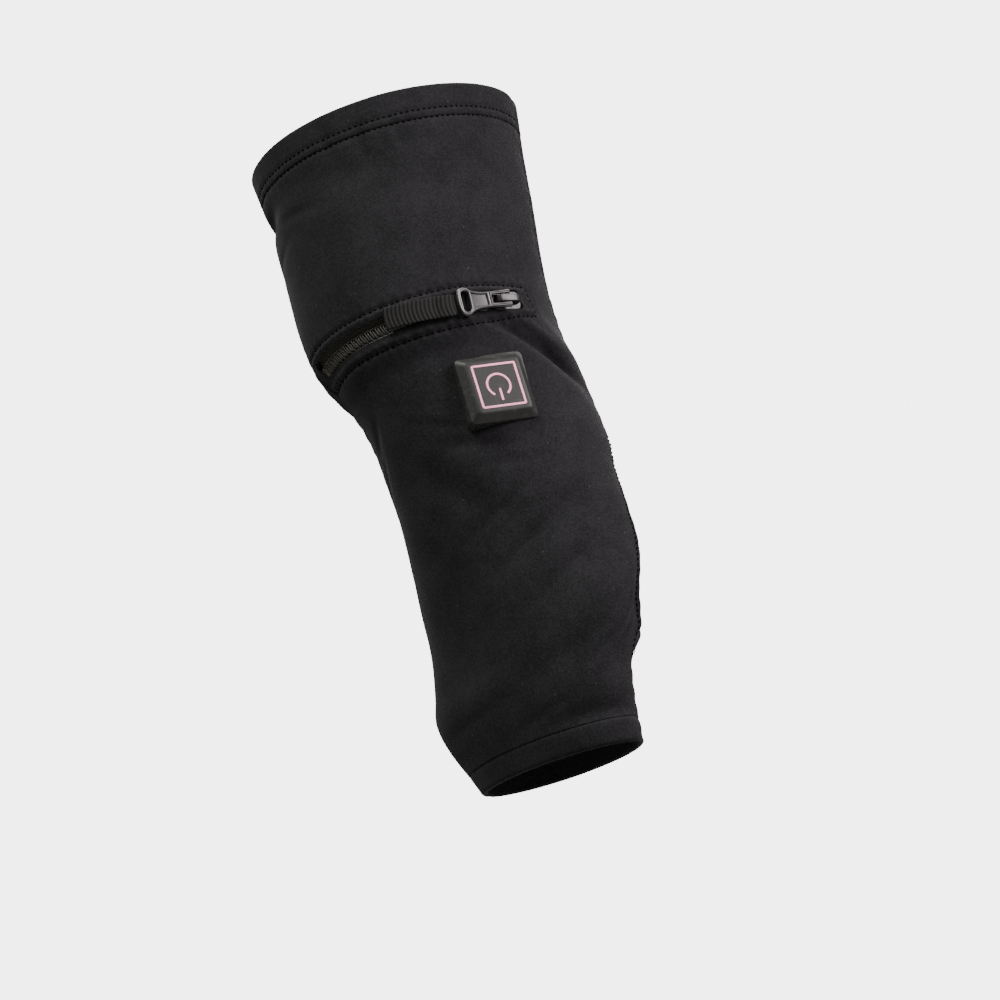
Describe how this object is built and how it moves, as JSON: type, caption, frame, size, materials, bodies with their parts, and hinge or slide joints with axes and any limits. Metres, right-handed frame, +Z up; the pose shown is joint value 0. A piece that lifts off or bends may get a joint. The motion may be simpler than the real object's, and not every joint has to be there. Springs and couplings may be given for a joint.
{
  "type": "fingerless heated glove",
  "caption": "Fingerless stretch-cloth heated glove sleeve with thumb hole, stitched cuff hem, zipped battery pocket slit with ribbon pull, and a square rubber push button.",
  "frame": {"origin": "middle of the wrist inside the sleeve, where the glove sits on the wrist", "axes": "+Z up the forearm towards the cuff rim, -Y out from the back of the hand, +X towards the thumb"},
  "size_m": [0.1002, 0.0804, 0.2479],
  "materials": {
    "stretch_cloth": "matte brushed black knit",
    "zip_tape": "woven tape",
    "zip_coil": "satin coil",
    "grosgrain": "ribbed ribbon",
    "black_metal": "black lacquer",
    "gunmetal": "dark polished metal",
    "button_rubber": "satin moulded rubber",
    "marking": "printed ink"
  },
  "bodies": {
    "root": {"back_panel": "stretch_cloth", "palm_panel": "stretch_cloth", "cuff_hem": "stretch_cloth", "finger_hem": "stretch_cloth", "thumb_hem": "stretch_cloth", "zip_tape_upper": "zip_tape", "zip_tape_lower": "zip_tape", "zip_coil": "zip_coil", "zip_end_stop": "gunmetal", "zip_slider": "black_metal", "zip_puller": "gunmetal", "ribbon_pull": "grosgrain", "button_base": "button_rubber", "indicator_frame": "marking", "indicator_ring": "marking", "indicator_bar": "marking"}
  },
  "joints": []
}
